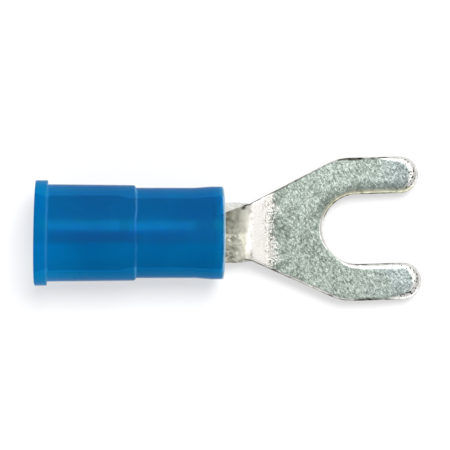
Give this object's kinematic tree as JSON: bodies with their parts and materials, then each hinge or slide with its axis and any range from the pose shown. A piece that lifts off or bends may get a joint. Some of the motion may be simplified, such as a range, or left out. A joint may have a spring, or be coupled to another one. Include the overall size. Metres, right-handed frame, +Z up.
{
  "type": "fork terminal",
  "caption": "Insulated crimp fork terminal: blue nylon sleeve with a rim over a metal grip sleeve and wire barrel, and a flat tin-plated forked tongue for a screw stud.",
  "frame": {"origin": "centre of the stud's seat in the fork, on the fork's underside", "axes": "+Z up along the stud, +X along the wire barrel towards the open end of the fork, and the wire leaves towards -X"},
  "size_m": [0.0242, 0.0091, 0.0065],
  "materials": {
    "nylon": "smooth, lightly see-through blue nylon",
    "grip_metal": "plain plated copper alloy sleeve",
    "tin_plate": "grainy bright tin plate over copper, smooth at the neck and the rolled edges"
  },
  "bodies": {
    "root": {"insulator": "nylon", "grip_sleeve": "grip_metal", "terminal": "tin_plate"}
  },
  "joints": []
}
